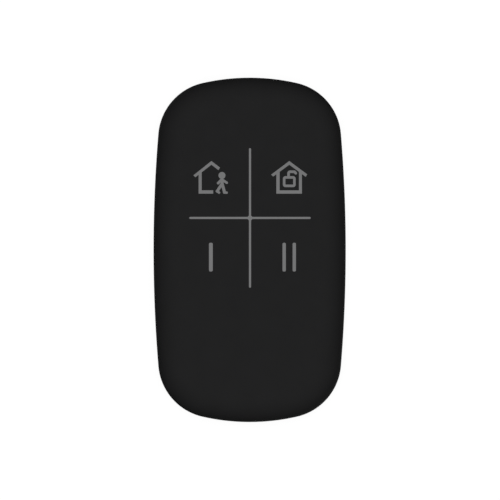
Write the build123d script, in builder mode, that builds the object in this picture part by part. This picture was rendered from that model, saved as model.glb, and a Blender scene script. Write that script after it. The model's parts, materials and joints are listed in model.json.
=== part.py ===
from build123d import *
import math
import os

# Four-key alarm key fob: a soft skin over a rigid frame, snap-dome switches on a circuit board, and a coin
# cell behind a turning door. All sizes are in millimetres. The fob lies on its back: keys face +Z, the long
# side runs along Y, and the origin is the middle of the back face.

os.makedirs("parts", exist_ok=True)

# Body
body_width = 34.5
body_length = 61.8
side_arc_radius = 252.0
end_arc_radius = 38.0
corner_arc_radius = 10.2
front_edge_radius = 4.5
rear_edge_bevel = 2.2
parting_height = 6.0
parting_chamfer = 0.2
cut_overrun = 1.0

# Front skin and the grey cross let into it
skin_thickness = 0.8
cross_width = 21.75
cross_height = 25.0
cross_line = 0.4
cross_hub_diameter = 0.86
cross_depth = 0.35
cross_proud = 0.04

# Front frame
frame_wall = 1.0
frame_ceiling = 2.0
rib_width = 2.4
rib_reach = 1.5
catch_gap = 1.2
catch_width = 3.0
catch_rise = 1.6
catch_drop = 0.9
catch_nib = 0.5
catch_nib_height = 0.5
catch_clearance = 0.1

# Keys
key_side_inset = 5.05
key_gap = 4.0
key_length = 10.2
key_group_inset = 25.18
key_corner_cut = 1.8
key_pad_thickness = 2.0
key_window_clearance = 0.15
key_skin_gap = 0.1

# Rear shell
lip_clearance = 0.05
lip_thickness = 0.8
lip_height = 1.0

# Case screws
screw_corner_inset = 4.8
screw_shank_radius = 1.0
screw_bite = 1.4
screw_head_radius = 1.8
screw_head_height = 1.1
screw_head_sink = 0.3
screw_recess_clearance = 0.2
screw_hole_clearance = 0.15
screw_pilot_clearance = 0.02
boss_wall = 1.3

# Lanyard eye
eye_radius = 2.2
eye_depth = 5.0
eye_inset = 5.6
eye_side_radius = 1.3
eye_side_height = 3.5
eye_wall = 1.5

# Coin cell
cell_radius = 10.0
cell_height = 3.2
cell_can_height = 2.9
cell_cap_radius = 8.85
cell_rest_gap = 0.02

# Battery door and well
door_opening_clearance = 0.4
door_boss_clearance = 0.15
door_rim = 1.4
door_disc_thickness = 0.9
door_recess_clearance = 0.1
door_axial_clearance = 0.05
door_to_eye = 2.6
door_slot_length = 13.0
door_slot_width = 1.8
door_slot_depth = 0.5
door_dish_size = 11.4
door_dish_depth = 0.4
ledge_thickness = 0.7
lug_reach = 0.75
lug_thickness = 0.6
lug_width = 5.0
lug_clearance = 0.15
lug_count = 3
lug_start_angle = 90.0
unlock_angle = 50.0
cushion_clearance = 0.2
well_wall = 0.9
well_clearance = 0.3
well_post_count = 4
well_post_width = 6.0
well_post_start_angle = 45.0
well_rib_width = 1.2
well_rib_clearance = 0.25

# Cell contacts
contact_gap = 0.8
contact_thickness = 0.25
contact_width = 4.0
positive_contact_drop = 3.0
positive_contact_foot = 3.0
positive_contact_gap = 0.02
negative_contact_base = 3.5
negative_contact_run = 3.0
negative_contact_tip = 1.6

# Circuit board and what it carries
board_thickness = 0.8
board_clearance = 0.25
board_hole_clearance = 0.2
radio_chip_size = 5.0
radio_chip_height = 0.9
radio_chip_gap = 0.6
board_part_gap = 1.6
board_boss_gap = 0.3
crystal_length = 3.2
crystal_width = 2.5
crystal_height = 0.7
capacitor_length = 1.6
capacitor_width = 0.8
capacitor_height = 0.8
capacitor_pitch = 1.3
capacitor_count = 4
antenna_strip_thickness = 0.4
antenna_strip_height = 1.6
antenna_return = 2.4
antenna_end_inset = 4.6
antenna_boss_gap = 0.3
light_length = 1.6
light_width = 0.8
light_height = 0.5
guide_size = 1.2
guide_clearance = 0.05
guide_light_gap = 0.2

# Key switches
switch_size = 5.0
switch_wall = 0.5
switch_base_floor = 0.3
switch_cover_thickness = 0.15
switch_cover_hole_clearance = 0.15
switch_side_width = 2.0
switch_side_height = 0.8
dome_end_clearance = 0.2
dome_width = 2.4
dome_height = 0.5
dome_thickness = 0.1
stem_size = 1.4
stem_flange_size = 2.2
stem_flange_thickness = 0.25
stem_height = 1.0
stem_cover_gap = 0.05
terminal_length = 0.8
terminal_width = 0.7
terminal_height = 0.2
terminal_spacing = 3.2

# Heights that follow from the stack of parts, from the door up to the skin
ledge_bottom = door_disc_thickness + door_axial_clearance
rear_floor = ledge_bottom + ledge_thickness
lug_bottom = rear_floor + door_axial_clearance
lug_top = lug_bottom + lug_thickness
cell_bottom = lug_top + cell_rest_gap
cap_bottom = cell_bottom + cell_can_height
cell_top = cell_bottom + cell_height
board_bottom = cell_top + contact_gap
board_top = board_bottom + board_thickness
screw_shoulder = screw_head_sink + screw_head_height
screw_tip = board_top + screw_bite
guide_bottom = board_top + light_height + guide_light_gap
switch_recess_floor = board_top + switch_base_floor
stem_bottom = switch_recess_floor + dome_height
stem_top = stem_bottom + stem_height
switch_cover_bottom = stem_bottom + stem_flange_thickness + stem_cover_gap
pad_top = stem_top + key_pad_thickness
frame_top = pad_top + key_skin_gap
ceiling_height = frame_top - frame_ceiling
body_thickness = frame_top + skin_thickness

# Widths that follow from the walls, measured inwards from the outline
frame_cavity_inset = skin_thickness + frame_wall
lip_outer_inset = frame_cavity_inset + lip_clearance
rear_wall = lip_outer_inset + lip_thickness
board_inset = rear_wall + board_clearance

# Sizes that follow from the pieces that fit together
key_width = body_width / 2 - key_side_inset - key_gap / 2
key_pitch_across = key_width + key_gap
key_pitch_along = key_length + key_gap
opening_radius = cell_radius + door_opening_clearance
door_boss_radius = opening_radius - door_boss_clearance
lug_radius = door_boss_radius + lug_reach
door_radius = lug_radius + door_rim
recess_radius = door_radius + door_recess_clearance
well_inner_radius = lug_radius + well_clearance
boss_size = 2 * (screw_shank_radius + boss_wall)
eye_block_width = 2 * (eye_radius + eye_wall)
switch_recess_size = switch_size - 2 * switch_wall
dome_length = switch_recess_size - 2 * dome_end_clearance

# The centres of the arcs on the right side, at the upper end and at the corner between them
side_centre = Vector(body_width / 2 - side_arc_radius, 0)
end_centre = Vector(0, body_length / 2 - end_arc_radius)


def corner_arc_centre():
    """The centre of an arc that touches a side arc and an end arc from inside."""
    to_side = side_arc_radius - corner_arc_radius
    to_end = end_arc_radius - corner_arc_radius
    line = end_centre - side_centre
    along = (to_side**2 - to_end**2 + line.length**2) / (2 * line.length)
    across = math.sqrt(to_side**2 - along**2)
    direction = line.normalized()
    return side_centre + direction * along + Vector(-direction.Y, direction.X) * across


corner_centre = corner_arc_centre()


def arc_points(inset):
    """The two ends and the middle of the upper right corner arc, moved inwards by inset."""
    from_side = (corner_centre - side_centre).normalized()
    from_end = (corner_centre - end_centre).normalized()
    side = side_centre + from_side * (side_arc_radius - inset)
    corner = corner_centre + (from_side + from_end).normalized() * (corner_arc_radius - inset)
    end = end_centre + from_end * (end_arc_radius - inset)
    return side, corner, end


# Places that follow from the outline and from what lies beside them
screw = arc_points(screw_corner_inset)[1]
screw_places = [(-screw.X, screw.Y), (screw.X, screw.Y)]
eye_y = eye_inset - body_length / 2
cell_y = eye_y + eye_radius + door_to_eye + recess_radius
cell_plane = Plane((0, cell_y, 0))
catch_x = eye_block_width / 2 + catch_gap + catch_width / 2
key_group_y = body_length / 2 - key_group_inset
key_x = key_pitch_across / 2
key_upper_y = key_group_y + key_pitch_along / 2
key_lower_y = key_group_y - key_pitch_along / 2
key_places = {
    "away": (-key_x, key_upper_y),
    "disarm": (key_x, key_upper_y),
    "function_one": (-key_x, key_lower_y),
    "function_two": (key_x, key_lower_y),
}
boss_lower_y = screw.Y - boss_size / 2
antenna_x = screw.X - boss_size / 2 - antenna_boss_gap - antenna_strip_thickness / 2
antenna_y = body_length / 2 - antenna_end_inset
radio_chip_y = antenna_y - antenna_strip_thickness / 2 - radio_chip_gap - radio_chip_size / 2
crystal_x = radio_chip_size / 2 + board_part_gap + crystal_width / 2
capacitor_x = -radio_chip_size / 2 - board_part_gap - capacitor_length / 2
crystal_y = boss_lower_y - board_boss_gap - crystal_length / 2
capacitor_first = boss_lower_y - board_boss_gap - capacitor_width / 2
capacitor_places = [(capacitor_x, capacitor_first - capacitor_pitch * n) for n in range(capacitor_count)]


def fob_outline(inset, mode=Mode.ADD):
    """Draw the fob's outline in the open sketch, moved inwards by inset, as eight tangent arcs."""
    side, corner, end = arc_points(inset)
    side_middle = body_width / 2 - inset
    end_middle = body_length / 2 - inset
    with BuildLine() as arcs:
        for s in (1, -1):
            ThreePointArc((s * side.X, -side.Y), (s * side_middle, 0), (s * side.X, side.Y))
            ThreePointArc((-end.X, s * end.Y), (0, s * end_middle), (end.X, s * end.Y))
            for t in (1, -1):
                ThreePointArc((s * side.X, t * side.Y), (s * corner.X, t * corner.Y), (s * end.X, t * end.Y))
    make_face(arcs.edges(), mode=mode)


def inside_form():
    """The space under the skin: its bevel touches the skin's rounded edge, moved inwards, at its middle."""
    inner_radius = front_edge_radius - skin_thickness
    bevel = inner_radius * (2 - math.sqrt(2))
    with BuildPart() as form:
        with BuildSketch(Plane.XY.offset(parting_height)):
            fob_outline(skin_thickness)
        extrude(amount=frame_top - parting_height)
        chamfer(form.faces().sort_by(Axis.Z)[-1].edges(), bevel)
    return form.part


def catch_sketch(outer_inset, inner_inset, clearance):
    """The two catches at the lower end seen from above, between two offsets of the outline."""
    fob_outline(outer_inset)
    fob_outline(inner_inset, mode=Mode.SUBTRACT)
    with Locations((-catch_x, -body_length / 2), (catch_x, -body_length / 2)):
        Rectangle(catch_width + 2 * clearance, body_length / 2, mode=Mode.INTERSECT)


def key_sketch(place, clearance):
    """The outline of a key pad, with cut corners, or of its window when it is given a clearance."""
    with Locations(place):
        pad = Rectangle(key_width + 2 * clearance, key_length + 2 * clearance)
    chamfer(pad.vertices(), key_corner_cut)


front_inside = inside_form()

# Front skin: one seamless soft moulding over the face and down the sides to the parting line
with BuildPart() as front_skin:
    with BuildSketch(Plane.XY.offset(parting_height)):
        fob_outline(0)
    extrude(amount=body_thickness - parting_height)
    fillet(front_skin.faces().sort_by(Axis.Z)[-1].edges(), front_edge_radius)
    add(front_inside, mode=Mode.SUBTRACT)
    with BuildSketch(Plane.XY.offset(body_thickness - cross_depth)):
        with Locations((0, key_group_y)):
            Rectangle(cross_width, cross_line)
            Rectangle(cross_line, cross_height)
            Circle(cross_hub_diameter / 2)
    extrude(amount=cross_depth, mode=Mode.SUBTRACT)
front_skin.part.label = "front_skin"
export_step(front_skin.part, "parts/front_skin.step")

# Divider cross: fills the groove and stands a little proud of the skin
with BuildPart() as divider_cross:
    with BuildSketch(Plane.XY.offset(body_thickness - cross_depth)):
        with Locations((0, key_group_y)):
            Rectangle(cross_width, cross_line)
            Rectangle(cross_line, cross_height)
            Circle(cross_hub_diameter / 2)
    extrude(amount=cross_depth + cross_proud)
divider_cross.part.label = "divider_cross"
export_step(divider_cross.part, "parts/divider_cross.step")

# Front frame: carries the skin, with a window for each key, screw bosses, a stiffening rib and two catches
rib_length = key_pitch_along + key_length + 2 * rib_reach
rib_span = key_pitch_across + key_width + 2 * rib_reach
nib_bottom = parting_height - catch_drop
with BuildPart() as front_frame:
    add(front_inside)
    with BuildSketch(Plane.XY.offset(parting_height)):
        fob_outline(frame_cavity_inset)
    extrude(amount=ceiling_height - parting_height, mode=Mode.SUBTRACT)
    with BuildSketch(Plane.XY.offset(board_top)):
        with Locations(*screw_places):
            Rectangle(boss_size, boss_size)
    extrude(amount=ceiling_height - board_top)
    with BuildSketch(Plane.XY.offset(guide_bottom)):
        with Locations((0, key_group_y)):
            Rectangle(rib_span, rib_width)
            Rectangle(rib_width, rib_length)
    extrude(amount=ceiling_height - guide_bottom)
    for place in key_places.values():
        with BuildSketch(Plane.XY.offset(ceiling_height)):
            key_sketch(place, key_window_clearance)
        extrude(amount=frame_ceiling, mode=Mode.SUBTRACT)
    with BuildSketch(Plane.XY.offset(board_top)):
        with Locations(*screw_places):
            Circle(screw_shank_radius + screw_pilot_clearance)
    extrude(amount=screw_tip - board_top, mode=Mode.SUBTRACT)
    with BuildSketch(Plane.XY.offset(guide_bottom)):
        with Locations((0, key_group_y)):
            Rectangle(guide_size + 2 * guide_clearance, guide_size + 2 * guide_clearance)
    extrude(amount=frame_top - guide_bottom, mode=Mode.SUBTRACT)
    with BuildSketch(Plane.XY.offset(nib_bottom)):
        catch_sketch(frame_cavity_inset, rear_wall, 0)
    extrude(amount=catch_drop + catch_rise)
    with BuildSketch(Plane.XY.offset(nib_bottom)):
        catch_sketch(frame_cavity_inset - catch_nib, frame_cavity_inset, 0)
    extrude(amount=catch_nib_height)
front_frame.part.label = "front_frame"
export_step(front_frame.part, "parts/front_frame.step")

# Rear shell: a tray with a lip along each side, screw bosses, the battery well and the lanyard eye
well_outer_radius = well_inner_radius + well_wall
rib_inner_radius = cell_radius + well_rib_clearance
well_rib_length = well_inner_radius + well_wall / 2 - rib_inner_radius
notch_reach = 2 * (lug_radius + lug_clearance - door_boss_radius)
lip_length = 2 * arc_points(rear_wall)[0].Y
with BuildPart() as rear_shell:
    with BuildSketch():
        fob_outline(0)
    extrude(amount=parting_height)
    chamfer(rear_shell.faces().sort_by(Axis.Z)[-1].edges(), parting_chamfer)
    chamfer(rear_shell.faces().sort_by(Axis.Z)[0].edges(), rear_edge_bevel)
    with BuildSketch(Plane.XY.offset(rear_floor)):
        fob_outline(rear_wall)
        with Locations((0, -body_length / 2)):
            Rectangle(eye_block_width, 2 * eye_inset + eye_block_width, mode=Mode.SUBTRACT)
    extrude(amount=parting_height - rear_floor, mode=Mode.SUBTRACT)
    with BuildSketch(Plane.XY.offset(parting_height)):
        fob_outline(lip_outer_inset)
        fob_outline(rear_wall, mode=Mode.SUBTRACT)
        Rectangle(body_width, lip_length, mode=Mode.INTERSECT)
    extrude(amount=lip_height)
    with BuildSketch(Plane.XY.offset(nib_bottom - catch_clearance)):
        catch_sketch(frame_cavity_inset - catch_clearance, rear_wall, catch_clearance)
    extrude(amount=catch_drop + catch_clearance, mode=Mode.SUBTRACT)
    with BuildSketch(Plane.XY.offset(nib_bottom - catch_clearance)):
        catch_sketch(frame_cavity_inset - catch_nib - catch_clearance, frame_cavity_inset, catch_clearance)
    extrude(amount=catch_nib_height + 2 * catch_clearance, mode=Mode.SUBTRACT)
    with BuildSketch(Plane.XY.offset(rear_floor)):
        with Locations(*screw_places):
            Rectangle(boss_size, boss_size)
        fob_outline(lip_outer_inset, mode=Mode.INTERSECT)
    extrude(amount=board_bottom - rear_floor)
    with BuildSketch(cell_plane.offset(rear_floor)):
        Circle(well_outer_radius)
        Circle(well_inner_radius, mode=Mode.SUBTRACT)
        with PolarLocations(well_inner_radius, well_post_count, well_post_start_angle):
            Rectangle(well_inner_radius, well_post_width, mode=Mode.INTERSECT)
    extrude(amount=cap_bottom - rear_floor)
    with BuildSketch(cell_plane.offset(cell_bottom)):
        with PolarLocations(rib_inner_radius + well_rib_length / 2, well_post_count, well_post_start_angle):
            Rectangle(well_rib_length, well_rib_width)
    extrude(amount=cap_bottom - cell_bottom)
    with BuildSketch(cell_plane):
        Circle(recess_radius)
    extrude(amount=ledge_bottom, mode=Mode.SUBTRACT)
    with BuildSketch(cell_plane):
        Circle(opening_radius)
        with PolarLocations(door_boss_radius, lug_count, lug_start_angle - unlock_angle):
            Rectangle(notch_reach, lug_width + 2 * lug_clearance)
    extrude(amount=rear_floor, mode=Mode.SUBTRACT)
    with BuildSketch():
        with Locations(*screw_places):
            Circle(screw_head_radius + screw_recess_clearance)
    extrude(amount=screw_shoulder, mode=Mode.SUBTRACT)
    with BuildSketch():
        with Locations(*screw_places):
            Circle(screw_shank_radius + screw_hole_clearance)
    extrude(amount=board_bottom, mode=Mode.SUBTRACT)
    with BuildSketch():
        with Locations((0, eye_y)):
            Circle(eye_radius)
    extrude(amount=eye_depth, mode=Mode.SUBTRACT)
    with BuildSketch(Plane.XZ.offset(-eye_y)):
        with Locations((0, eye_side_height)):
            Circle(eye_side_radius)
    extrude(amount=eye_inset + cut_overrun, mode=Mode.SUBTRACT)
rear_shell.part.label = "rear_shell"
export_step(rear_shell.part, "parts/rear_shell.step")

# Case screws: sunk in the back face, through the rear shell and the board into the frame's bosses
with BuildPart() as case_screws:
    with BuildSketch(Plane.XY.offset(screw_head_sink)):
        with Locations(*screw_places):
            Circle(screw_head_radius)
    extrude(amount=screw_head_height)
    with BuildSketch(Plane.XY.offset(screw_shoulder)):
        with Locations(*screw_places):
            Circle(screw_shank_radius)
    extrude(amount=screw_tip - screw_shoulder)
case_screws.part.label = "case_screws"
export_step(case_screws.part, "parts/case_screws.step")

# Circuit board: cut in straight lines inside the rear shell's lip, on its bosses
right = [(point.X, point.Y) for point in arc_points(board_inset)]
upper = right + [(-x, y) for x, y in reversed(right)]
board_corners = upper + [(-x, -y) for x, y in upper]
with BuildPart() as circuit_board:
    with BuildSketch(Plane.XY.offset(board_bottom)):
        Polygon(*board_corners, align=None)
        with Locations(*screw_places):
            Circle(screw_shank_radius + board_hole_clearance, mode=Mode.SUBTRACT)
    extrude(amount=board_thickness)
circuit_board.part.label = "circuit_board"
export_step(circuit_board.part, "parts/circuit_board.step")


def board_block(name, places, length, width, height):
    """A plain component, or a row of them, on the upper side of the board."""
    with BuildPart() as block:
        with BuildSketch(Plane.XY.offset(board_top)):
            with Locations(*places):
                Rectangle(length, width)
        extrude(amount=height)
    block.part.label = name
    export_step(block.part, f"parts/{name}.step")


board_block("radio_chip", [(0, radio_chip_y)], radio_chip_size, radio_chip_size, radio_chip_height)
board_block("crystal_can", [(crystal_x, crystal_y)], crystal_width, crystal_length, crystal_height)
board_block("chip_capacitors", capacitor_places, capacitor_length, capacitor_width, capacitor_height)
board_block("status_light", [(0, key_group_y)], light_length, light_width, light_height)

# Antenna strip: stands on edge along the upper end of the board, between the screw bosses
with BuildPart() as antenna_strip:
    with BuildSketch(Plane.XY.offset(board_top)):
        with BuildLine():
            Polyline(
                (-antenna_x, antenna_y - antenna_return),
                (-antenna_x, antenna_y),
                (antenna_x, antenna_y),
                (antenna_x, antenna_y - antenna_return),
            )
        trace(line_width=antenna_strip_thickness)
    extrude(amount=antenna_strip_height)
antenna_strip.part.label = "antenna_strip"
export_step(antenna_strip.part, "parts/antenna_strip.step")

# Light guide: a clear pin over the status light, up to the skin under the crossing of the cross
with BuildPart() as light_guide:
    with BuildSketch(Plane.XY.offset(guide_bottom)):
        with Locations((0, key_group_y)):
            Rectangle(guide_size, guide_size)
    extrude(amount=frame_top - guide_bottom)
light_guide.part.label = "light_guide"
export_step(light_guide.part, "parts/light_guide.step")

# Coin cell: the wide can faces the door, the narrower cap faces the board
with BuildPart() as coin_cell_can:
    with BuildSketch(cell_plane.offset(cell_bottom)):
        Circle(cell_radius)
    extrude(amount=cell_can_height)
coin_cell_can.part.label = "coin_cell_can"
export_step(coin_cell_can.part, "parts/coin_cell_can.step")

with BuildPart() as coin_cell_cap:
    with BuildSketch(cell_plane.offset(cap_bottom)):
        Circle(cell_cap_radius)
    extrude(amount=cell_top - cap_bottom)
coin_cell_cap.part.label = "coin_cell_cap"
export_step(coin_cell_cap.part, "parts/coin_cell_cap.step")

# Positive contact: a strip under the board that turns down against the upper side of the can
contact_side = cell_y + cell_radius + positive_contact_gap + contact_thickness / 2
strip_height = board_bottom - contact_thickness / 2
with BuildPart() as cell_positive_contact:
    with BuildSketch(Plane.YZ):
        with BuildLine():
            Polyline(
                (contact_side + positive_contact_foot, strip_height),
                (contact_side, strip_height),
                (contact_side, board_bottom - positive_contact_drop),
            )
        trace(line_width=contact_thickness)
    extrude(amount=contact_width / 2, both=True)
cell_positive_contact.part.label = "cell_positive_contact"
export_step(cell_positive_contact.part, "parts/cell_positive_contact.step")

# Negative contact: a leaf under the board that bends down to the middle of the cap
negative_half = (negative_contact_base + negative_contact_run + negative_contact_tip) / 2
leaf_height = cell_top + contact_thickness / 2
with BuildPart() as cell_negative_contact:
    with BuildSketch(Plane.XZ.offset(-cell_y)):
        with BuildLine():
            Polyline(
                (-negative_half, strip_height),
                (negative_contact_base - negative_half, strip_height),
                (negative_half - negative_contact_tip, leaf_height),
                (negative_half, leaf_height),
            )
        trace(line_width=contact_thickness)
    extrude(amount=contact_width / 2, both=True)
cell_negative_contact.part.label = "cell_negative_contact"
export_step(cell_negative_contact.part, "parts/cell_negative_contact.step")

# Battery door: a disc flush with the back, a boss that fills the opening, and lugs behind the ledge
with BuildPart() as battery_door:
    with BuildSketch(cell_plane):
        Circle(door_radius)
    extrude(amount=door_disc_thickness)
    with BuildSketch(cell_plane):
        Circle(door_boss_radius)
    extrude(amount=lug_top)
    with BuildSketch(cell_plane.offset(lug_bottom)):
        with PolarLocations(door_boss_radius, lug_count, lug_start_angle):
            Rectangle(2 * (lug_radius - door_boss_radius), lug_width)
    extrude(amount=lug_thickness)
    with BuildSketch(cell_plane.offset(lug_top)):
        Rectangle(door_dish_size, door_dish_size)
    extrude(amount=-door_dish_depth, mode=Mode.SUBTRACT)
    with BuildSketch(cell_plane):
        SlotOverall(door_slot_length, door_slot_width)
    extrude(amount=door_slot_depth, mode=Mode.SUBTRACT)
battery_door.part.label = "battery_door"
export_step(battery_door.part, "parts/battery_door.step")

# Cell cushion: a square of foam in the door's dish
cushion_size = door_dish_size - 2 * cushion_clearance
with BuildPart() as cell_cushion:
    with BuildSketch(cell_plane.offset(lug_top)):
        Rectangle(cushion_size, cushion_size)
    extrude(amount=-door_dish_depth)
cell_cushion.part.label = "cell_cushion"
export_step(cell_cushion.part, "parts/cell_cushion.step")


def key_pad(name, place):
    """The rigid pad in its window, from the pip of the switch up to just under the skin."""
    with BuildPart() as pad:
        with BuildSketch(Plane.XY.offset(stem_top)):
            key_sketch(place, 0)
        extrude(amount=key_pad_thickness)
    pad.part.label = f"{name}_key_pad"
    export_step(pad.part, f"parts/{name}_key_pad.step")


def switch_stem(name, place):
    """The plunger: a flange held under the cover and a pip that stands out through it."""
    with BuildPart() as stem:
        with BuildSketch(Plane.XY.offset(stem_bottom)):
            with Locations(place):
                Rectangle(stem_flange_size, stem_flange_size)
        extrude(amount=stem_flange_thickness)
        with BuildSketch(Plane.XY.offset(stem_bottom + stem_flange_thickness)):
            with Locations(place):
                Rectangle(stem_size, stem_size)
        extrude(amount=stem_height - stem_flange_thickness)
    stem.part.label = f"{name}_switch_stem"
    export_step(stem.part, f"parts/{name}_switch_stem.step")


def switch_dome(name, place):
    """The snap dome: a thin bowed blade that stands on the floor of the base."""
    bow_radius = (dome_length**2 / 4 + dome_height**2) / (2 * dome_height)
    with BuildPart() as dome:
        with BuildSketch(Plane.XZ.offset(-place[1])):
            with Locations((place[0], stem_bottom - bow_radius)):
                Circle(bow_radius)
                Circle(bow_radius - dome_thickness, mode=Mode.SUBTRACT)
            with Locations((place[0], switch_recess_floor + dome_height / 2)):
                Rectangle(dome_length, dome_height, mode=Mode.INTERSECT)
        extrude(amount=dome_width / 2, both=True)
    dome.part.label = f"{name}_switch_dome"
    export_step(dome.part, f"parts/{name}_switch_dome.step")


def switch_base(name, place):
    """The moulded base with the recess that holds the dome."""
    with BuildPart() as base:
        with BuildSketch(Plane.XY.offset(board_top)):
            with Locations(place):
                Rectangle(switch_size, switch_size)
        extrude(amount=switch_cover_bottom - board_top)
        with BuildSketch(Plane.XY.offset(switch_recess_floor)):
            with Locations(place):
                Rectangle(switch_recess_size, switch_recess_size)
        extrude(amount=switch_cover_bottom - switch_recess_floor, mode=Mode.SUBTRACT)
    base.part.label = f"{name}_switch_base"
    export_step(base.part, f"parts/{name}_switch_base.step")


def switch_cover(name, place):
    """The steel cover over the base, with a hole for the pip and a tab down two sides."""
    hole_size = stem_size + 2 * switch_cover_hole_clearance
    with BuildPart() as cover:
        with BuildSketch(Plane.XY.offset(switch_cover_bottom)):
            with Locations(place):
                Rectangle(switch_size, switch_size + 2 * switch_cover_thickness)
                Rectangle(hole_size, hole_size, mode=Mode.SUBTRACT)
        extrude(amount=switch_cover_thickness)
        with BuildSketch(Plane.XY.offset(switch_cover_bottom)):
            with Locations(place):
                Rectangle(switch_side_width, switch_size + 2 * switch_cover_thickness)
                Rectangle(switch_side_width, switch_size, mode=Mode.SUBTRACT)
        extrude(amount=-switch_side_height)
    cover.part.label = f"{name}_switch_cover"
    export_step(cover.part, f"parts/{name}_switch_cover.step")


def switch_terminals(name, place):
    """Four solder terminals that lie on the board at the left and right of the base."""
    with BuildPart() as terminals:
        with BuildSketch(Plane.XY.offset(board_top)):
            with Locations(place):
                with GridLocations(switch_size + terminal_length, terminal_spacing, 2, 2):
                    Rectangle(terminal_length, terminal_width)
        extrude(amount=terminal_height)
    terminals.part.label = f"{name}_switch_terminals"
    export_step(terminals.part, f"parts/{name}_switch_terminals.step")


for key_name, key_place in key_places.items():
    key_pad(key_name, key_place)
    switch_stem(key_name, key_place)
    switch_dome(key_name, key_place)
    switch_base(key_name, key_place)
    switch_cover(key_name, key_place)
    switch_terminals(key_name, key_place)
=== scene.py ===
import json
import math

import bmesh
import bpy
from mathutils import Matrix, Vector
from mathutils.geometry import delaunay_2d_cdt


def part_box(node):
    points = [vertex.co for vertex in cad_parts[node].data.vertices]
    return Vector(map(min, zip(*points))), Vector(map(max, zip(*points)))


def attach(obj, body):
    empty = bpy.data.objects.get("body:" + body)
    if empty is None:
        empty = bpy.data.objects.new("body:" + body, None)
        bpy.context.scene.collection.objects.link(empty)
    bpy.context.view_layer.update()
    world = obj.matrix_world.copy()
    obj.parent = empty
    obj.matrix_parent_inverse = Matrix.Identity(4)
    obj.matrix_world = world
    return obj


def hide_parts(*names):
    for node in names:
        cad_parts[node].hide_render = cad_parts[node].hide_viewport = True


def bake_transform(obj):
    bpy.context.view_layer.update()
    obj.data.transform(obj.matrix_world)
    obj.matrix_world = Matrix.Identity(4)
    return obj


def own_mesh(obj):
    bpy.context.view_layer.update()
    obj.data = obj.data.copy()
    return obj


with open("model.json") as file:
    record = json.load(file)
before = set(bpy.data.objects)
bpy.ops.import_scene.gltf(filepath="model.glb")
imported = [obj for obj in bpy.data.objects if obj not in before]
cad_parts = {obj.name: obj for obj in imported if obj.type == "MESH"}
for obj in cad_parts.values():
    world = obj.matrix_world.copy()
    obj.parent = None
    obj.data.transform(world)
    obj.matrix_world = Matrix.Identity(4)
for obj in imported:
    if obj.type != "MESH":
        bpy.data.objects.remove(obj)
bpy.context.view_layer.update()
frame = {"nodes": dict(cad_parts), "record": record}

# The fob lies on its back on the floor, keys up. Shapes are written in millimetres, from the same named
# sizes as the CAD, and turned into metres when a mesh is made. Heights count from the back.
MM = 0.001

# Meshes
MERGE = 1e-4          # points of a new form that are nearer than this become one
SLIVER = 0.002        # the same for a form that was cut
TOUCH = 1e-6          # the same for the shapes of a flat plate
PAST = 1.0            # how far a cutting form reaches past the surface that it cuts
INSIDE = 3.0          # a height inside the case, above its floor and the door
SMOOTH = 30.0         # an edge that turns by more degrees is sharp
CUT_SMOOTH = 25.0     # the same for the case, the door and the screws
BEND_SMOOTH = 50.0    # the same for the sides of a key area

# Body
BODY_WIDTH = 34.5
BODY_LENGTH = 61.8
SIDE_ARC = 252.0
END_ARC = 38.0
CORNER_ARC = 10.2
ARC_STEPS = (10, 20, 8)
EDGE_RADIUS = 4.5
EDGE_RING = 0.1       # flat ring beside a rounded edge
SKIN = 0.8
PARTING = 6.0
SEAM_RADIUS = 0.18    # rounding of both halves where they meet
SEAM_TURNS = (0.4, 0.8, 1.2, math.pi / 2)
RIM_INSETS = (0.6, 0.25)  # rings on the flat rim of the rear case
REAR_BEVEL = 2.2
BEVEL_ANGLE = 45
REAR_EASE = 0.8
EASE_STEPS = 8
REAR_FLOOR = 1.65
REAR_WALL = 2.65
LEDGE = 0.95
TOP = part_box("front_skin")[1].z / MM
SKIN_UNDER = TOP - SKIN

# Keys
KEY_X = 7.1
KEY_GROUP_Y = 5.72
KEY_STEP = 7.1
PAD_HALF = 3.6
RAMP_HALF = 4.9
RAMP_STEPS = 12
RAMP_COLUMNS = 16
PAD_SLAB = 0.5
PAD_BOSS_RADIUS = 2.1
PAD_BOSS_DEPTH = 0.2
PAD_BOSS_EDGE = 0.1
DOME_FLOOR = 7.42
DOME_REACH = 1.8
DOME_HALF_WIDTH = 1.2
DOME_RISE = 0.49
DOME_SHEET = 0.1
DOME_EDGE = 0.01      # least thickness of a dome's sheet
DOME_STEPS = 24
KEYS = {
    "away": (-KEY_X, KEY_GROUP_Y + KEY_STEP),
    "disarm": (KEY_X, KEY_GROUP_Y + KEY_STEP),
    "function_one": (-KEY_X, KEY_GROUP_Y - KEY_STEP),
    "function_two": (KEY_X, KEY_GROUP_Y - KEY_STEP),
}

# Cross and signs. The cross stands a little to the right of the middle, as in the photograph.
CROSS_WIDTH = 21.75
CROSS_HEIGHT = 25.0
CROSS_LINE = 0.38
CROSS_X = 0.064
CROSS_HUB = 0.46
CROSS_DEPTH = 0.35
CROSS_PROUD = 0.04
SIGN_PROUD = 0.03
SIGN_SUNK = 0.02

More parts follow.
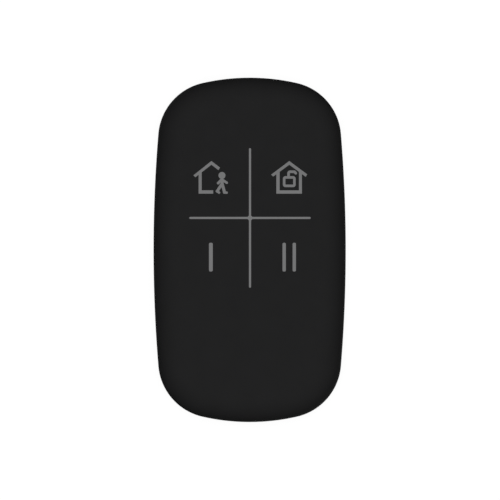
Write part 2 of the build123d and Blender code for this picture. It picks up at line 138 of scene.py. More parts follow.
# Door. The groove's points are (way out from its middle, depth).
DOOR_Y = -8.0
DOOR_RADIUS = 12.4
DOOR_EDGE = 0.35
DOOR_EDGE_TURNS = (0.26, 0.52, 0.79, 1.05, 1.31, math.pi / 2)
DOOR_DISC = 0.9
DOOR_STEPS = 144
RECESS_RADIUS = 12.5
OPENING_RADIUS = 10.4
BOSS_RADIUS = 10.25
LUGS = 3
LUG_BOTTOM = 1.7
LUG_TOP = 2.3
LUG_RADIUS = 11.0
LUG_WIDTH = 5.0
LUG_ROOT = 1.2        # how deep a lug starts inside the boss
LUG_SHY = 0.01        # keeps a lug's upper face clear of the boss's
NOTCH_GAP = 0.15
UNLOCK = 50.0
SLOT_LENGTH = 13.0
SLOT_WIDTH = 1.8
SLOT_DEPTH = 0.5
DISH = 11.4
DISH_DEPTH = 0.4
GROOVE_RADIUS = 9.3
GROOVE = ((-0.25, 0), (-0.18, 0.05), (-0.1, 0.15), (0, 0.2), (0.1, 0.15), (0.18, 0.05), (0.25, 0))
MARK_REACH = 10.9
MARK_RADIUS = 0.4
MARK_DEPTHS = (0.15, 0.25)
DOT_REACH = 1.1
DOT_RADIUS = 0.32
DOT_DEPTHS = (0.12, 0.2)

# Holes in the back
LEAD_IN = 0.15
EYE_Y = -25.3
EYE_RADIUS = 2.2
EYE_DEPTH = 5.0
EYE_LEAD = ((0.2, 0), (0.05, 0.08), (0, 0.2))
EYE_BLOCK = 7.4
EYE_SIDE_RADIUS = 1.3
EYE_SIDE_HEIGHT = 3.5
EYE_SIDE_LEAD = ((0, 0.3), (0.09, 0.09), (0.3, 0))
POST_RADIUS = 2.9
SCREW_MOUTH = 2.0
SCREW_SEAT = 1.4
SCREW_BORE = 1.15

# Screws. The head and the shank are given as (radius, height).
SCREW_INSET = 4.8
SCREW_HEAD = [(0, 0.3), (1.2, 0.3), (1.5, 0.36), (1.7, 0.5), (1.8, 0.75), (1.8, SCREW_SEAT)]
SCREW_SHANK = [(1.0, SCREW_SEAT), (1.0, 8.2), (0.6, 8.5), (0, 8.52)]
BIT_REACH = 1.3
BIT_HALF = 0.3
BIT_DEPTH = 1.4
BIT_TAPER = 0.25
BIT_TURN = 20

side_centre = Vector((BODY_WIDTH / 2 - SIDE_ARC, 0))
end_centre = Vector((0, BODY_LENGTH / 2 - END_ARC))


def corner_arc_centre():
    to_side = SIDE_ARC - CORNER_ARC
    to_end = END_ARC - CORNER_ARC
    link = end_centre - side_centre
    along = (to_side**2 - to_end**2 + link.length**2) / (2 * link.length)
    across = math.sqrt(to_side**2 - along**2)
    way = link.normalized()
    return side_centre + way * along + Vector((-way.y, way.x)) * across


corner_centre = corner_arc_centre()
side_turn = math.atan2(corner_centre.y - side_centre.y, corner_centre.x - side_centre.x)
end_turn = math.atan2(corner_centre.y - end_centre.y, corner_centre.x - end_centre.x)
screw_turn = (side_turn + end_turn) / 2
screw = corner_centre + Vector((math.cos(screw_turn), math.sin(screw_turn))) * (CORNER_ARC - SCREW_INSET)


# Lines
def quarter(inset):
    """Points from the middle of the right side to the middle of the upper end."""
    points = []
    for centre, radius, first, last, steps in (
        (side_centre, SIDE_ARC, 0.0, side_turn, ARC_STEPS[0]),
        (corner_centre, CORNER_ARC, side_turn, end_turn, ARC_STEPS[1]),
        (end_centre, END_ARC, end_turn, math.pi / 2, ARC_STEPS[2]),
    ):
        for n in range(steps):
            turn = first + (last - first) * n / steps
            reach = radius - inset
            points.append((centre.x + reach * math.cos(turn), centre.y + reach * math.sin(turn)))
    return points


def outline(inset):
    """The fob's outline moved inwards by inset, anticlockwise."""
    right = quarter(inset)
    end = (0.0, BODY_LENGTH / 2 - inset)
    upper = right + [end] + [(-x, y) for x, y in reversed(right)]
    lower = [(x, -y) for x, y in reversed(upper[1:-1])]
    return upper + lower


def arc(inset, z, radius, first, last, steps):
    """Profile points (inset, z) round a centre; angles in degrees from outwards to up."""
    points = []
    for n in range(steps + 1):
        turn = math.radians(first + (last - first) * n / steps)
        points.append((inset - radius * math.cos(turn), z + radius * math.sin(turn)))
    return points


def disc(x, y, radius, steps=32):
    turns = [math.tau * n / steps for n in range(steps)]
    return [(x + radius * math.cos(turn), y + radius * math.sin(turn)) for turn in turns]


def rectangle(x0, y0, x1, y1):
    return [(x0, y0), (x1, y0), (x1, y1), (x0, y1)]


def stroke(points, width):
    """A line of even width with round ends through the points, as overlapping shapes."""
    shapes = []
    for (ax, ay), (bx, by) in zip(points, points[1:]):
        length = math.hypot(bx - ax, by - ay)
        sx = -(by - ay) / length * width / 2
        sy = (bx - ax) / length * width / 2
        shapes.append([(ax - sx, ay - sy), (bx - sx, by - sy), (bx + sx, by + sy), (ax + sx, ay + sy)])
    return shapes + [disc(x, y, width / 2) for x, y in points]


# Forms
def shade(thing, smooth_angle):
    thing.data.shade_smooth()
    thing.data.set_sharp_from_angle(angle=math.radians(smooth_angle))


def piece(name, verts, faces, smooth_angle=SMOOTH):
    """A new object from millimetre points, with outward normals and sharp edges where the form turns."""
    mesh = bpy.data.meshes.new(name)
    form = bmesh.new()
    corners = [form.verts.new(Vector(v) * MM) for v in verts]
    for face in faces:
        form.faces.new([corners[n] for n in face])
    bmesh.ops.remove_doubles(form, verts=form.verts, dist=MERGE * MM)
    bmesh.ops.recalc_face_normals(form, faces=form.faces)
    form.to_mesh(mesh)
    form.free()
    thing = bpy.data.objects.new(name, mesh)
    bpy.context.scene.collection.objects.link(thing)
    shade(thing, smooth_angle)
    return thing


def combine(thing, tool, operation="DIFFERENCE"):
    """Cut the tool out of the thing, or add it, and delete the tool."""
    step = thing.modifiers.new("combine", "BOOLEAN")
    step.operation = operation
    step.object = tool
    step.solver = "EXACT"
    bpy.context.view_layer.update()
    ready = thing.evaluated_get(bpy.context.evaluated_depsgraph_get())
    mesh = bpy.data.meshes.new_from_object(ready)
    thing.modifiers.clear()
    thing.data = mesh
    bpy.data.objects.remove(tool)


def settle(thing, smooth_angle):
    """Turn a form that was cut into triangles, and take out those with no area."""
    form = bmesh.new()
    form.from_mesh(thing.data)
    bmesh.ops.remove_doubles(form, verts=form.verts, dist=SLIVER * MM)
    bmesh.ops.triangulate(form, faces=form.faces, quad_method="BEAUTY", ngon_method="BEAUTY")
    bmesh.ops.dissolve_degenerate(form, dist=SLIVER * MM, edges=form.edges)
    bmesh.ops.triangulate(form, faces=form.faces)
    form.to_mesh(thing.data)
    form.free()
    shade(thing, smooth_angle)


def loft(profile, capped):
    """Vertices and faces of a form swept round the outline: a ring for each (inset, z), joined in turn."""
    rings = [[(x, y, z) for x, y in outline(inset)] for inset, z in profile]
    count = len(rings[0])
    verts = [v for ring in rings for v in ring]
    faces = []
    for low in range(0, len(verts) - count, count):
        high = low + count
        for n in range(count):
            m = (n + 1) % count
            faces.append((low + n, low + m, high + m, high + n))
    if capped:
        faces.append(tuple(range(count)))
        faces.append(tuple(range(len(verts) - count, len(verts))))
    return verts, faces


def turned(name, centre, profile, along="Z", steps=96):
    """A solid of revolution from (radius, height) points that start and end on the axis."""
    verts = []
    rings = []
    for radius, height in profile:
        if radius == 0:
            rings.append([len(verts)] * steps)
            verts.append((0, 0, height))
        else:
            rings.append([len(verts) + n for n in range(steps)])
            verts += [(x, y, height) for x, y in disc(0, 0, radius, steps)]
    faces = []
    for low, high in zip(rings, rings[1:]):
        for n in range(steps):
            m = (n + 1) % steps
            corners = list(dict.fromkeys((low[n], low[m], high[m], high[n])))
            if len(corners) > 2:
                faces.append(corners)
    turn = Matrix.Rotation(math.radians(90), 3, "X") if along == "Y" else Matrix.Identity(3)
    return piece(name, [turn @ Vector(v) + Vector(centre) for v in verts], faces)


def block(name, low, high, turn=0.0, about=(0, 0)):
    """A straight block between two corners, turned about a vertical axis."""
    xs, ys, zs = zip(low, high)
    spin = Matrix.Rotation(turn, 3, "Z")
    middle = Vector((about[0], about[1], 0))
    verts = [spin @ (Vector((x, y, z)) - middle) + middle for z in zs for y in ys for x in xs]
    faces = [(0, 1, 3, 2), (4, 5, 7, 6), (0, 1, 5, 4), (2, 3, 7, 6), (0, 2, 6, 4), (1, 3, 7, 5)]
    return piece(name, verts, faces)


def dimple(x, y, radius, depths):
    """A round mark to cut into the back, with its depths at the edge and in the middle."""
    edge, middle = depths
    return turned("dimple", (x, y, 0), [(0, -PAST), (radius, -PAST), (radius, edge), (0, middle)], steps=32)


def fill(shapes, holes):
    """Triangles of the shapes' union less the holes, with each point's source numbers."""
    points = []
    loops = []
    for shape in list(shapes) + list(holes):
        area = sum(ax * by - bx * ay for (ax, ay), (bx, by) in zip(shape, shape[1:] + shape[:1]))
        loops.append(list(range(len(points), len(points) + len(shape))))
        points += [Vector(p) for p in (shape if area > 0 else shape[::-1])]
    out, _, triangles, sources, _, owners = delaunay_2d_cdt(points, [], loops, 0, TOUCH, True)
    kept = [
        t for t, own in zip(triangles, owners)
        if any(n < len(shapes) for n in own) and not any(n >= len(shapes) for n in own)
    ]
    return out, kept, sources


def slab(low, high, shapes, holes=(), open_edge=0):
    """Vertices and faces of a flat plate. Edges among the first open_edge points get no wall."""
    out, triangles, sources = fill(shapes, holes)
    count = len(out)
    verts = [(p.x, p.y, high) for p in out] + [(p.x, p.y, low) for p in out]
    faces = []
    for t in triangles:
        faces.append(tuple(t))
        faces.append(tuple(n + count for n in reversed(t)))
    edges = dict.fromkeys(edge for t in triangles for edge in zip(t, list(t[1:]) + [t[0]]))
    for a, b in edges:
        outer = all(sources[n] and min(sources[n]) < open_edge for n in (a, b))
        if (b, a) not in edges and not outer:
            faces.append((b, a, a + count, b + count))
    return verts, faces


# Materials
CLOUD = 250.0
GLOSS_CLOUD = 3
NOISE_LOW = 0.3
NOISE_HIGH = 0.7

# Each slot: colour, shift of the colour, roughness, shift of the roughness, scale of the grain, its height in
# millimetres, specular level, metal
FINISHES = {
    "soft_skin": ((0.0163, 0.0163, 0.0166), 0.03, 0.8, 0.03, 5200, 0.004, 0.004, 0.0),
    "print_grey": ((0.18, 0.18, 0.182), 0.03, 0.7, 0.05, 5200, 0.004, 0.05, 0.0),
    "inner_plastic": ((0.03, 0.03, 0.032), 0.08, 0.5, 0.06, 3000, 0.006, 0.5, 0.0),
    "shell_plastic": ((0.016, 0.016, 0.017), 0.04, 0.52, 0.015, 3800, 0.012, 0.08, 0.0),
    "screw_steel": ((0.12, 0.12, 0.125), 0.15, 0.34, 0.08, 2500, 0.004, 0.5, 1.0),
    "board": ((0.01, 0.09, 0.035), 0.1, 0.3, 0.04, 2500, 0.004, 0.5, 0.0),
    "chip_black": ((0.02, 0.02, 0.022), 0.08, 0.55, 0.05, 4000, 0.006, 0.5, 0.0),
    "can_steel": ((0.55, 0.55, 0.56), 0.06, 0.3, 0.06, 2500, 0.003, 0.5, 1.0),
    "ceramic": ((0.35, 0.24, 0.15), 0.1, 0.45, 0.05, 4000, 0.004, 0.5, 0.0),
    "light_white": ((0.8, 0.78, 0.66), 0.03, 0.25, 0.04, 3000, 0.002, 0.5, 0.0),
    "contact_metal": ((0.72, 0.6, 0.36), 0.06, 0.28, 0.06, 2500, 0.003, 0.5, 1.0),
    "clear": ((0.85, 0.88, 0.9), 0.02, 0.12, 0.03, 1500, 0.002, 0.5, 0.0),
    "cell_steel": ((0.62, 0.62, 0.63), 0.05, 0.26, 0.05, 2500, 0.003, 0.5, 1.0),
    "foam": ((0.05, 0.05, 0.052), 0.25, 0.9, 0.05, 2200, 0.06, 0.1, 0.0),
    "stem_plastic": ((0.75, 0.74, 0.7), 0.03, 0.45, 0.05, 3000, 0.003, 0.5, 0.0),
    "dome_steel": ((0.6, 0.6, 0.61), 0.05, 0.24, 0.05, 2500, 0.002, 0.5, 1.0),
    "switch_plastic": ((0.03, 0.03, 0.03), 0.08, 0.5, 0.05, 3500, 0.005, 0.5, 0.0),
}
CLEAR_TRANSMISSION = 0.9


def noise(nodes, links, place, scale, detail=3.0):
    texture = nodes.new("ShaderNodeTexNoise")
    texture.inputs["Scale"].default_value = scale
    texture.inputs["Detail"].default_value = detail
    links.new(place.outputs["Object"], texture.inputs["Vector"])
    return texture.outputs["Fac"]


def spread(nodes, links, value, low, high):
    """The noise value, which stays near NOISE_LOW to NOISE_HIGH, spread between two numbers."""
    ramp = nodes.new("ShaderNodeMapRange")
    ramp.inputs["From Min"].default_value = NOISE_LOW
    ramp.inputs["From Max"].default_value = NOISE_HIGH
    ramp.inputs["To Min"].default_value = low
    ramp.inputs["To Max"].default_value = high
    links.new(value, ramp.inputs["Value"])
    return ramp.outputs["Result"]


def finish_paint(name, colour, shift, rough, rough_shift, grain, height, specular, metal):
    """A moulded, printed or plated surface: cloudy colour, grain in the bump and a broken-up gloss."""
    paint = bpy.data.materials.new(name)
    paint.use_nodes = True
    nodes = paint.node_tree.nodes
    links = paint.node_tree.links
    shader = nodes["Principled BSDF"]
    shader.inputs["Metallic"].default_value = metal
    shader.inputs["Specular IOR Level"].default_value = specular
    place = nodes.new("ShaderNodeTexCoord")
    tone = nodes.new("ShaderNodeMix")
    tone.data_type = "RGBA"
    tone.inputs["A"].default_value = (*[c * (1 - shift) for c in colour], 1)
    tone.inputs["B"].default_value = (*[c * (1 + shift) for c in colour], 1)
    links.new(spread(nodes, links, noise(nodes, links, place, CLOUD), 0, 1), tone.inputs["Factor"])
    links.new(tone.outputs["Result"], shader.inputs["Base Color"])
    patches = noise(nodes, links, place, CLOUD * GLOSS_CLOUD)
    gloss = spread(nodes, links, patches, rough - rough_shift, rough + rough_shift)
    links.new(gloss, shader.inputs["Roughness"])
    bump = nodes.new("ShaderNodeBump")
    bump.inputs["Strength"].default_value = 1.0
    bump.inputs["Distance"].default_value = height * MM
    links.new(noise(nodes, links, place, grain, detail=4.0), bump.inputs["Height"])
    links.new(bump.outputs["Normal"], shader.inputs["Normal"])
    return paint


PAINTS = {name: finish_paint(name, *finish) for name, finish in FINISHES.items()}
clear_shader = PAINTS["clear"].node_tree.nodes["Principled BSDF"]
clear_shader.inputs["Transmission Weight"].default_value = CLEAR_TRANSMISSION

for subpart in frame["record"]["subparts"]:
    slots = frame["nodes"][subpart["node"]].data.materials
    slots.clear()
    slots.append(PAINTS[subpart["material_slot"]])


def dress(thing, slot_name, *nodes):
    """Give a new piece its material and slot, and let it stand for CAD nodes."""
    thing.data.materials.clear()
    thing.data.materials.append(PAINTS[slot_name])
    if nodes:
        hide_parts(*nodes)


# Pieces
def cross_shapes():
    reach = (CROSS_WIDTH - CROSS_LINE) / 2
    across = stroke([(CROSS_X - reach, KEY_GROUP_Y), (CROSS_X + reach, KEY_GROUP_Y)], CROSS_LINE)
    low = KEY_GROUP_Y - CROSS_HEIGHT / 2 + CROSS_LINE / 2
    high = KEY_GROUP_Y + CROSS_HEIGHT / 2 - CROSS_LINE / 2
    upright = stroke([(CROSS_X, low), (CROSS_X, high)], CROSS_LINE)
    return across + upright + [disc(CROSS_X, KEY_GROUP_Y, CROSS_HUB)]


def front_skin():
    """Side, rounded edge and face in one form, hollow below, with room for the four key areas."""
    round_over = arc(EDGE_RADIUS, TOP - EDGE_RADIUS, EDGE_RADIUS, 0, 90, steps=20)
    inner_round = arc(EDGE_RADIUS, TOP - EDGE_RADIUS, EDGE_RADIUS - SKIN, 90, 0, steps=12)
    lower_edge = arc(SEAM_RADIUS, PARTING + SEAM_RADIUS, SEAM_RADIUS, -90, 0, steps=4)
    flat = EDGE_RADIUS + EDGE_RING
    profile = [(flat, SKIN_UNDER)] + inner_round + [(SKIN, PARTING)] + lower_edge + round_over + [(flat, TOP)]
    verts, faces = loft(profile, False)
    edge = outline(flat)
    holes = [rectangle(x - RAMP_HALF, y - RAMP_HALF, x + RAMP_HALF, y + RAMP_HALF) for x, y in KEYS.values()]
    more, plate = slab(SKIN_UNDER, TOP, [edge], holes + cross_shapes(), len(edge))
    start = len(verts)
    faces += [tuple(n + start for n in face) for face in plate]
    cover = piece("front_cover", verts + more, faces)
    dress(cover, "soft_skin", "front_skin")
    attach(cover, "housing")


def key_pad(key, place):
    """The skin on top of a key, which moves with the key, and the boss under it."""
    x, y = place
    low = TOP - PAD_SLAB
    verts, faces = slab(low, TOP, [rectangle(x - PAD_HALF, y - PAD_HALF, x + PAD_HALF, y + PAD_HALF)])
    pad = piece(f"{key}_cover_pad", verts, faces)
    under = low - PAD_BOSS_DEPTH
    high = TOP - PAD_BOSS_EDGE
    boss = [(0, under), (PAD_BOSS_RADIUS - PAD_BOSS_EDGE, under), (PAD_BOSS_RADIUS, under + PAD_BOSS_EDGE),
            (PAD_BOSS_RADIUS, high), (0, high)]
    combine(pad, turned("boss", (x, y, 0), boss, steps=48), "UNION")
    settle(pad, SMOOTH)
    dress(pad, "soft_skin", "front_skin")
    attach(pad, f"{key}_key")


def key_side(key, place, side, turn):
    """The skin on one side of a key, from the edge of the face's hole in to the pad."""
    x, y = place
    spin = Matrix.Rotation(math.radians(turn), 2)
    verts = []
    for z in (TOP, TOP - PAD_SLAB):
        for i in range(RAMP_STEPS + 1):
            reach = PAD_HALF + (RAMP_HALF - PAD_HALF) * i / RAMP_STEPS
            for j in range(RAMP_COLUMNS + 1):
                point = spin @ Vector((reach, reach * (2 * j / RAMP_COLUMNS - 1)))
                verts.append((x + point.x, y + point.y, z))
    row = RAMP_COLUMNS + 1
    layer = row * (RAMP_STEPS + 1)
    faces = []
    for i in range(RAMP_STEPS):
        for j in range(RAMP_COLUMNS):
            a = i * row + j
            faces.append((a, a + row, a + row + 1, a + 1))
            faces.append((a + layer, a + 1 + layer, a + row + 1 + layer, a + row + layer))
    rim = list(range(row))
    rim += [i * row + RAMP_COLUMNS for i in range(1, RAMP_STEPS + 1)]
    rim += [RAMP_STEPS * row + j for j in range(RAMP_COLUMNS - 1, -1, -1)]
    rim += [i * row for i in range(RAMP_STEPS - 1, 0, -1)]
    faces += [(a, b, b + layer, a + layer) for a, b in zip(rim, rim[1:] + rim[:1])]
    ramp = piece(f"{key}_cover_{side}", verts, faces, BEND_SMOOTH)
    dress(ramp, "soft_skin", "front_skin")
    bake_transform(ramp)


def switch_dome(key, place):
    """The bowed snap dome under a key."""
    x, y = place
    bow = (DOME_REACH**2 + DOME_RISE**2) / (2 * DOME_RISE)
    steps = DOME_STEPS
    verts = []
    for n in range(steps + 1):
        along = DOME_REACH * (2 * n / steps - 1)
        upper = DOME_FLOOR + DOME_RISE - bow + math.sqrt(bow**2 - along**2)
        lower = DOME_FLOOR + DOME_RISE - bow + math.sqrt((bow - DOME_SHEET) ** 2 - along**2)
        lower = max(DOME_FLOOR, lower)
        upper = max(upper, lower + DOME_EDGE)
        verts += [(x + along, y + side * DOME_HALF_WIDTH, z) for z in (upper, lower) for side in (1, -1)]
    faces = [(0, 1, 3, 2), (4 * steps, 4 * steps + 2, 4 * steps + 3, 4 * steps + 1)]
    for n in range(steps):
        a = 4 * n
        faces += [(a, a + 4, a + 5, a + 1), (a + 2, a + 3, a + 7, a + 6)]
        faces += [(a, a + 2, a + 6, a + 4), (a + 1, a + 5, a + 7, a + 3)]
    dome = piece(f"{key}_dome_blade", verts, faces)
    dress(dome, "dome_steel", f"{key}_switch_dome")
    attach(dome, "housing")
    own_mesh(dome)


def divider_cross():
    """An inlay with rounded ends and a small round hub."""
    cross = piece("cross_inlay", *slab(TOP - CROSS_DEPTH, TOP + CROSS_PROUD, cross_shapes()))
    dress(cross, "print_grey", "divider_cross")
    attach(cross, "housing")


# Printed signs. Their points are given in pixels of the photograph on the plane of the face.
FACE_PIXEL = 0.17912
CENTRE_PIXEL = (249.645, 249.869)


def seen(*pixels):
    return [((x - CENTRE_PIXEL[0]) * FACE_PIXEL, (CENTRE_PIXEL[1] - y) * FACE_PIXEL) for x, y in pixels]


def line(width, *pixels):
    return stroke(seen(*pixels), width * FACE_PIXEL)


def round_box(x0, y0, x1, y1, radius):
    """Points on the face round a box with rounded corners."""
    points = []
    for cx, cy, first in (
        (x1 - radius, y1 - radius, 0),
        (x0 + radius, y1 - radius, 90),
        (x0 + radius, y0 + radius, 180),
        (x1 - radius, y0 + radius, 270),
    ):
        for step in range(0, 91, 15):
            turn = math.radians(first + step)
            points.append((cx + radius * math.cos(turn), cy + radius * math.sin(turn)))
    return seen(*points)


away_sign = [
    seen((211.4, 161.0), (193.4, 175.3), (195.4, 177.25), (211.4, 164.75), (218.4, 170.1), (220.05, 167.6)),
    seen((198.6, 173.0), (198.6, 193.65), (201.7, 193.65), (201.7, 171.0)),
    seen((198.6, 190.3), (198.6, 193.65), (213.2, 193.65), (213.2, 190.3)),
    disc(*seen((221.95, 175.45))[0], 3.5 * FACE_PIXEL),
    seen((220.5, 177.5), (220.6, 184.2), (223.65, 184.2), (223.3, 177.5)),
    *line(2.6, (221.3, 179.9), (218.1, 183.2)),
    *line(2.5, (222.8, 180.1), (226.75, 182.75)),
    *line(2.9, (221.7, 184.2), (217.5, 190.8)),
    *line(2.4, (216.8, 191.2), (219.1, 192.6)),
    *line(3.0, (222.3, 184.2), (224.4, 191.8)),
    *line(2.4, (224.1, 192.55), (226.7, 192.65)),
]
disarm_sign = [
    seen((289.3, 161.0), (271.1, 174.6), (273.2, 176.55), (289.3, 164.75), (305.75, 176.85), (307.15, 174.3)),
    seen((276.35, 172.5), (276.35, 193.65), (279.65, 193.65), (279.65, 170.5)),
    seen((298.95, 170.5), (298.95, 193.65), (301.9, 193.65), (301.9, 172.5)),
    seen((276.35, 190.35), (276.35, 193.65), (301.9, 193.65), (301.9, 190.35)),
    round_box(282.88, 176.12, 295.67, 187.13, 2.5),
    *line(2.65, (288.55, 177.0), (288.55, 173.3), (288.8, 172.4), (289.55, 171.8), (290.3, 171.7),
          (294.5, 171.8), (295.75, 173.2)),
]
lock_opening = round_box(285.42, 178.68, 293.13, 184.57, 0.3)
function_one_sign = [
    round_box(208.96, 242.75, 212.76, 271.5, 1.35),
]
function_two_sign = [
    round_box(282.5, 242.75, 285.84, 271.5, 1.3),
    round_box(292.6, 242.75, 295.94, 271.5, 1.3),
]
SIGNS = {
    "away": (away_sign, []),
    "disarm": (disarm_sign, [lock_opening]),
    "function_one": (function_one_sign, []),
    "function_two": (function_two_sign, []),
}


def key_sign(key, shapes, holes):
    sign = piece(f"{key}_sign", *slab(TOP - SIGN_SUNK, TOP + SIGN_PROUD, shapes, holes))
    dress(sign, "print_grey")
    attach(sign, f"{key}_key")


def rear_case():
    """Bevelled tray with the door's recess, the screw holes and the lanyard eye."""
    soft = REAR_EASE / math.tan(math.radians(BEVEL_ANGLE / 2))
    bevel = REAR_BEVEL + REAR_EASE
    turns = [math.radians(BEVEL_ANGLE * n / EASE_STEPS) for n in range(EASE_STEPS + 1)]
    profile = [(inset, PARTING) for inset in RIM_INSETS]
    seam = SEAM_RADIUS
    profile += [(seam - seam * math.sin(turn), PARTING - seam + seam * math.cos(turn)) for turn in SEAM_TURNS]
    profile += [(soft * (1 - math.cos(turn)), bevel - soft * math.sin(turn)) for turn in turns]
    profile += [(bevel - soft * math.sin(turn), soft * (1 - math.cos(turn))) for turn in reversed(turns)]
    profile += [(bevel + EDGE_RING / 2, 0.0)]
    case = piece("rear_case", *loft(profile, True))

    above = PARTING + PAST
    hollow = piece("hollow", *loft([(REAR_WALL, REAR_FLOOR), (REAR_WALL, above)], True))
    half = EYE_BLOCK / 2
    low = (-half, -BODY_LENGTH / 2, 0)
    combine(hollow, block("eye_block", low, (half, EYE_Y + half, above + PAST)))
    post = [(0, 0), (POST_RADIUS, 0), (POST_RADIUS, above + PAST), (0, above + PAST)]
    for side in (1, -1):
        combine(hollow, turned("post", (side * screw.x, screw.y, 0), post))
    combine(case, hollow)

    recess = [(0, -PAST), (RECESS_RADIUS + LEAD_IN, -PAST), (RECESS_RADIUS + LEAD_IN, 0),
              (RECESS_RADIUS, LEAD_IN), (RECESS_RADIUS, LEDGE), (OPENING_RADIUS, LEDGE),
              (OPENING_RADIUS, INSIDE), (0, INSIDE)]
    combine(case, turned("recess", (0, DOOR_Y, 0), recess, steps=DOOR_STEPS))
    low = (-LUG_WIDTH / 2 - NOTCH_GAP, DOOR_Y, -PAST / 2)
    high = (LUG_WIDTH / 2 + NOTCH_GAP, DOOR_Y + LUG_RADIUS + NOTCH_GAP, INSIDE)
    for n in range(LUGS):
        combine(case, block("notch", low, high, math.radians(360 / LUGS * n - UNLOCK), (0, DOOR_Y)))

    hole = [(0, -PAST), (SCREW_MOUTH + LEAD_IN, -PAST), (SCREW_MOUTH + LEAD_IN, 0), (SCREW_MOUTH, LEAD_IN),
            (SCREW_MOUTH, SCREW_SEAT), (SCREW_BORE, SCREW_SEAT), (SCREW_BORE, above), (0, above)]
    for side in (1, -1):
        combine(case, turned("hole", (side * screw.x, screw.y, 0), hole))

    eye = [(0, -PAST), (EYE_RADIUS + EYE_LEAD[0][0], -PAST)]
    eye += [(EYE_RADIUS + wider, z) for wider, z in EYE_LEAD]
    eye += [(EYE_RADIUS, EYE_DEPTH), (0, EYE_DEPTH)]
    combine(case, turned("eye", (0, EYE_Y, 0), eye))
    out = BODY_LENGTH / 2 + EYE_Y
    tunnel = [(0, 0), (EYE_SIDE_RADIUS, 0)]
    tunnel += [(EYE_SIDE_RADIUS + wider, out - back) for wider, back in EYE_SIDE_LEAD]
    tunnel += [(EYE_SIDE_RADIUS + EYE_SIDE_LEAD[-1][0], out + PAST), (0, out + PAST)]
    combine(case, turned("tunnel", (0, EYE_Y, EYE_SIDE_HEIGHT), tunnel, "Y"))

    reach = RECESS_RADIUS + DOT_REACH
    for turn in (0, UNLOCK):
        angle = math.radians(90 + turn)
        dot = dimple(reach * math.cos(angle), DOOR_Y + reach * math.sin(angle), DOT_RADIUS, DOT_DEPTHS)
        combine(case, dot)
    settle(case, CUT_SMOOTH)
    dress(case, "shell_plastic", "rear_shell")
    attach(case, "housing")


def door_disc():
    """A disc with a coin slot, a boss that fills the opening and three lugs behind the ledge."""
    profile = [(0, 0)] + [(GROOVE_RADIUS + wider, z) for wider, z in GROOVE]
    profile += [(DOOR_RADIUS - DOOR_EDGE - EDGE_RING, 0), (DOOR_RADIUS - DOOR_EDGE, 0)]
    profile += [(DOOR_RADIUS - DOOR_EDGE + DOOR_EDGE * math.sin(turn), DOOR_EDGE - DOOR_EDGE * math.cos(turn))
                for turn in DOOR_EDGE_TURNS]
    profile += [(DOOR_RADIUS, DOOR_DISC), (BOSS_RADIUS, DOOR_DISC), (BOSS_RADIUS, LUG_TOP), (0, LUG_TOP)]
    door = turned("door_disc", (0, DOOR_Y, 0), profile, steps=DOOR_STEPS)
    low = (-LUG_WIDTH / 2, DOOR_Y + BOSS_RADIUS - LUG_ROOT, LUG_BOTTOM)
    high = (LUG_WIDTH / 2, DOOR_Y + LUG_RADIUS, LUG_TOP - LUG_SHY)
    for n in range(LUGS):
        combine(door, block("lug", low, high, math.radians(360 / LUGS * n), (0, DOOR_Y)), "UNION")
    half = DISH / 2
    low = (-half, DOOR_Y - half, LUG_TOP - DISH_DEPTH)
    combine(door, block("dish", low, (half, DOOR_Y + half, INSIDE)))
    reach = (SLOT_LENGTH - SLOT_WIDTH) / 2
    slot_line = stroke([(-reach, DOOR_Y), (reach, DOOR_Y)], SLOT_WIDTH)
    combine(door, piece("slot", *slab(-PAST, SLOT_DEPTH, slot_line)))
    combine(door, dimple(0, DOOR_Y + MARK_REACH, MARK_RADIUS, MARK_DEPTHS))
    settle(door, CUT_SMOOTH)
    dress(door, "shell_plastic", "battery_door")
    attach(door, "door")


def screw_body(side):
    """A rounded head with a tapered cross recess, and a shank up into the frame."""
    x, y = side * screw.x, screw.y
    body = turned("case_screw", (x, y, 0), SCREW_HEAD + SCREW_SHANK, steps=64)
    low = (x - BIT_REACH, y - BIT_HALF, 0)
    high = (x + BIT_REACH, y + BIT_HALF, BIT_DEPTH)
    for turn in (0, 90):
        bit = block("bit", low, high, math.radians(turn + BIT_TURN * side), (x, y))
        for corner in bit.data.vertices:
            if corner.co.z > 0:
                corner.co.x = x * MM + (corner.co.x - x * MM) * BIT_TAPER
                corner.co.y = y * MM + (corner.co.y - y * MM) * BIT_TAPER
        combine(body, bit)
    return body


def case_screws():
    both = screw_body(1)
    combine(both, screw_body(-1), "UNION")
    both.name = "case_screw_pair"
    settle(both, CUT_SMOOTH)
    dress(both, "screw_steel", "case_screws")
    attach(both, "housing")


front_skin()
for key_name, key_place in KEYS.items():
    key_pad(key_name, key_place)
    for side_name, side_way in (("right", 0), ("upper", 90), ("left", 180), ("lower", 270)):
        key_side(key_name, key_place, side_name, side_way)
for key_name, key_place in KEYS.items():
    switch_dome(key_name, key_place)
divider_cross()
for key_name, (sign_shapes, sign_holes) in SIGNS.items():
    key_sign(key_name, sign_shapes, sign_holes)
rear_case()
door_disc()
case_screws()

# Stage
FLOOR_HALF = 4000.0
FLOOR_DROP = -0.05
FLOOR_COLOUR = (0.12, 0.12, 0.12, 1)
FLOOR_GLOW = 0.92
WORLD_FILL = 0.04
WORLD_WHITE = 1.0


def largest(nodes, links, first, *others):
    """The largest of some values."""
    for other in others:
        step = nodes.new("ShaderNodeMath")
        step.operation = "MAXIMUM"
        links.new(first, step.inputs[0])
        links.new(other, step.inputs[1])
        first = step.outputs[0]
    return first


def looked_at(nodes, links, path):
    """One where the camera looks, also through clear things and in reflections; zero for other rays."""
    rays = [path.outputs[name] for name in ("Is Camera Ray", "Is Transmission Ray", "Is Glossy Ray")]
    return largest(nodes, links, *rays)


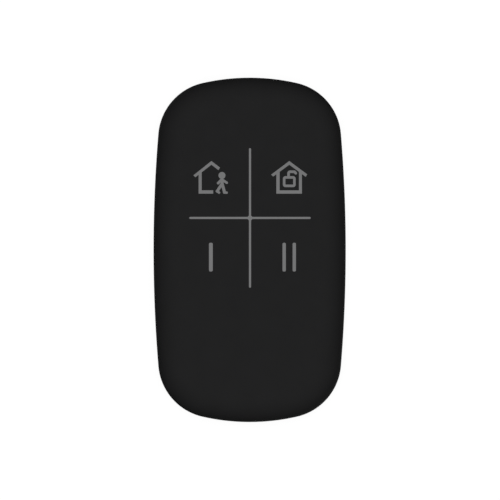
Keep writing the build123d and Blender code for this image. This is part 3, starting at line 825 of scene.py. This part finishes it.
def floor_paint():
    """White where it is looked at, with a faint shadow, and dim in the light that it throws back.

    It is clear from underneath and to the lamps below, so that the back can be looked at.
    """
    paint = bpy.data.materials.new("floor")
    paint.use_nodes = True
    nodes = paint.node_tree.nodes
    links = paint.node_tree.links
    nodes.clear()
    out = nodes.new("ShaderNodeOutputMaterial")
    path = nodes.new("ShaderNodeLightPath")
    geometry = nodes.new("ShaderNodeNewGeometry")
    dull = nodes.new("ShaderNodeBsdfDiffuse")
    dull.inputs["Color"].default_value = FLOOR_COLOUR
    glow = nodes.new("ShaderNodeEmission")
    glow.inputs["Strength"].default_value = FLOOR_GLOW
    clear = nodes.new("ShaderNodeBsdfTransparent")
    bright = nodes.new("ShaderNodeAddShader")
    links.new(dull.outputs[0], bright.inputs[0])
    links.new(glow.outputs[0], bright.inputs[1])
    upper = nodes.new("ShaderNodeMixShader")
    links.new(looked_at(nodes, links, path), upper.inputs["Fac"])
    links.new(dull.outputs[0], upper.inputs[1])
    links.new(bright.outputs[0], upper.inputs[2])
    whole = nodes.new("ShaderNodeMixShader")
    see_through = largest(nodes, links, geometry.outputs["Backfacing"], path.outputs["Is Shadow Ray"])
    links.new(see_through, whole.inputs["Fac"])
    links.new(upper.outputs[0], whole.inputs[1])
    links.new(clear.outputs[0], whole.inputs[2])
    links.new(whole.outputs[0], out.inputs["Surface"])
    return paint


def white_world():
    """Plain fill light, white to the camera and in reflections."""
    world = bpy.data.worlds.new("studio")
    bpy.context.scene.world = world
    world.use_nodes = True
    nodes = world.node_tree.nodes
    links = world.node_tree.links
    back = nodes["Background"]
    back.inputs["Color"].default_value = (1, 1, 1, 1)
    level = nodes.new("ShaderNodeMapRange")
    level.inputs["To Min"].default_value = WORLD_FILL
    level.inputs["To Max"].default_value = WORLD_WHITE
    links.new(looked_at(nodes, links, nodes.new("ShaderNodeLightPath")), level.inputs["Value"])
    links.new(level.outputs["Result"], back.inputs["Strength"])


def lamp(name, place, size, power, mirrored=True):
    """A square soft light that faces the object, in metres and watts; unless mirrored, without highlights."""
    light = bpy.data.lights.new(name, "AREA")
    light.shape = "SQUARE"
    light.size = size
    light.energy = power
    thing = bpy.data.objects.new(name, light)
    thing.location = place
    thing.rotation_euler = (-Vector(place)).to_track_quat("-Z", "Y").to_euler()
    thing.visible_camera = False
    thing.visible_glossy = mirrored
    bpy.context.scene.collection.objects.link(thing)


floor_corners = rectangle(-FLOOR_HALF, -FLOOR_HALF, FLOOR_HALF, FLOOR_HALF)
floor = piece("floor", [(x, y, FLOOR_DROP) for x, y in floor_corners], [(0, 1, 2, 3)])
if floor.data.polygons[0].normal.z < 0:
    floor.data.flip_normals()
floor.data.materials.append(floor_paint())
white_world()
lamp("front_light", place=(0, 0, 1.0), size=0.7, power=10.4, mirrored=False)
lamp("under_light_right", place=(0.36, -0.3, -0.85), size=0.4, power=3.6)
lamp("under_light_left", place=(-0.36, 0.3, -0.85), size=0.4, power=2.4)

# Camera: square on, above the face, a long lens as in a flat product view. PIXEL is the size of a picture's
# pixel at the height where the rounded edge starts.
LENS = 1000.0
SENSOR = 36.0
PICTURE = 500
PIXEL = 0.17944
FARTHEST = 20.0
camera_data = bpy.data.cameras.new("camera")
camera_data.lens = LENS
camera_data.sensor_width = SENSOR
camera_data.clip_end = FARTHEST
distance = PICTURE * PIXEL * LENS / SENSOR
camera = bpy.data.objects.new("camera", camera_data)
camera.location = (
    (PICTURE / 2 - CENTRE_PIXEL[0]) * PIXEL * MM,
    (CENTRE_PIXEL[1] - PICTURE / 2) * PIXEL * MM,
    (TOP - EDGE_RADIUS + distance) * MM,
)
bpy.context.scene.collection.objects.link(camera)
bpy.context.scene.camera = camera
bpy.context.scene.view_settings.view_transform = "Standard"

bpy.context.view_layer.update()
